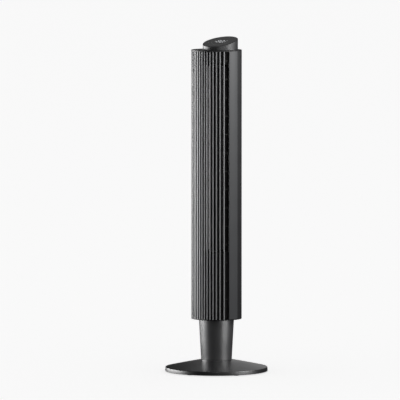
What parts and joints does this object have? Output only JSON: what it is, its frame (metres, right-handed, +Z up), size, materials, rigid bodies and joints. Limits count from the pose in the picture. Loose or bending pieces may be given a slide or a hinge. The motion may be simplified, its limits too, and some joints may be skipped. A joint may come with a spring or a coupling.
{
  "type": "tower fan",
  "caption": "Tower fan on a round base: slatted oscillating tower with a slanted touch panel, telescoping neck, cross-flow impeller, geared swing drive.",
  "frame": {"origin": "on the floor plane, in the middle of the round base, below the neck", "axes": "+Z up along the tower; the fan blows towards -Y; +X is the fan's left-hand side seen from behind"},
  "size_m": [0.327, 0.327, 1.0663],
  "materials": {
    "base_plastic": "fine-textured satin black plastic",
    "neck_plastic": "smooth satin charcoal plastic",
    "shell_plastic": "satin charcoal plastic",
    "rear_plastic": "fine-textured black plastic",
    "rim_plastic": "satin black plastic",
    "head_plastic": "satin dark grey plastic",
    "lens_gloss": "polished black panel lens with white marks behind it",
    "hidden_plastic": "plain black moulding",
    "liner_black": "dead-matte black",
    "impeller_plastic": "black glass-filled plastic",
    "light_plastic": "white moulded plastic",
    "acetal": "natural acetal",
    "board_green": "solder-masked circuit board",
    "rubber": "black rubber",
    "steel": "zinc-plated steel",
    "bright_steel": "drawn and polished steel",
    "screw_steel": "zinc-plated screws",
    "motor_can": "plated pressed steel",
    "lamination_steel": "stacked laminations",
    "copper": "varnished copper winding",
    "bronze": "sintered bronze"
  },
  "bodies": {
    "stand": {"base_cover": "base_plastic", "base_plate": "hidden_plastic", "ballast_plate": "steel", "rubber_feet": "rubber", "base_screws": "screw_steel", "column_socket": "hidden_plastic", "column_tube": "steel", "friction_bush": "acetal", "neck_sleeve": "neck_plastic"},
    "mast": {"mast_tube": "bright_steel", "mast_guide_ring": "acetal", "mast_head": "hidden_plastic", "thrust_washer": "acetal", "sun_gear": "acetal", "gear_retainer": "steel"},
    "tower": {"osc_motor": "motor_can", "swivel_deck": "hidden_plastic", "well_tube": "hidden_plastic", "bottom_cap": "rim_plastic", "frame_posts": "hidden_plastic", "motor_deck": "hidden_plastic", "motor_grommets": "rubber", "motor_covers": "motor_can", "motor_stator": "lamination_steel", "stator_windings": "copper", "motor_bearings": "bronze", "run_capacitor": "light_plastic", "power_board": "board_green", "duct_floor": "hidden_plastic", "scroll_wall": "hidden_plastic", "vortex_tongue": "hidden_plastic", "duct_roof": "hidden_plastic", "top_bearing": "bronze", "bearing_rubber": "rubber", "lower_liner": "liner_black", "upper_liner": "liner_black", "left_side_panel": "shell_plastic", "right_side_panel": "shell_plastic", "front_grille": "shell_plastic", "rear_shell": "rear_plastic", "handle_shell": "rear_plastic", "intake_grille": "rear_plastic", "handle_pocket": "rear_plastic", "rear_screws": "screw_steel", "cord_gland": "rubber", "top_cap": "rim_plastic", "head_ring": "head_plastic", "panel_lens": "lens_gloss", "display_board": "board_green", "digit_display": "light_plastic", "touch_springs": "bright_steel"},
    "pinion": {"osc_pinion": "acetal"},
    "impeller": {"motor_shaft": "bright_steel", "rotor": "lamination_steel", "drive_hub": "rubber", "impeller_base_disc": "impeller_plastic", "impeller_top_disc": "impeller_plastic", "impeller_section_1": "impeller_plastic", "impeller_section_2": "impeller_plastic", "impeller_section_3": "impeller_plastic"}
  },
  "joints": [
    {"name": "height_slide", "type": "slide", "parent": "stand", "child": "mast", "axis": [0, 0, 1], "range_m": [-0.1, 0]},
    {"name": "oscillation", "type": "hinge", "parent": "mast", "child": "tower", "pos_m": [0, 0, 0.293], "axis": [0, 0, 1], "range_deg": [-45, 45]},
    {"name": "pinion_spin", "type": "hinge", "parent": "tower", "child": "pinion", "pos_m": [0, 0.0401, 0.301], "axis": [0, 0, 1], "range_deg": [-138, 138]},
    {"name": "impeller_spin", "type": "hinge", "parent": "tower", "child": "impeller", "pos_m": [0, 0.008, 0.36], "axis": [0, 0, 1], "continuous": true}
  ],
  "couplings": [
    {"joint": "pinion_spin", "follows": "oscillation", "ratio": 3}
  ]
}
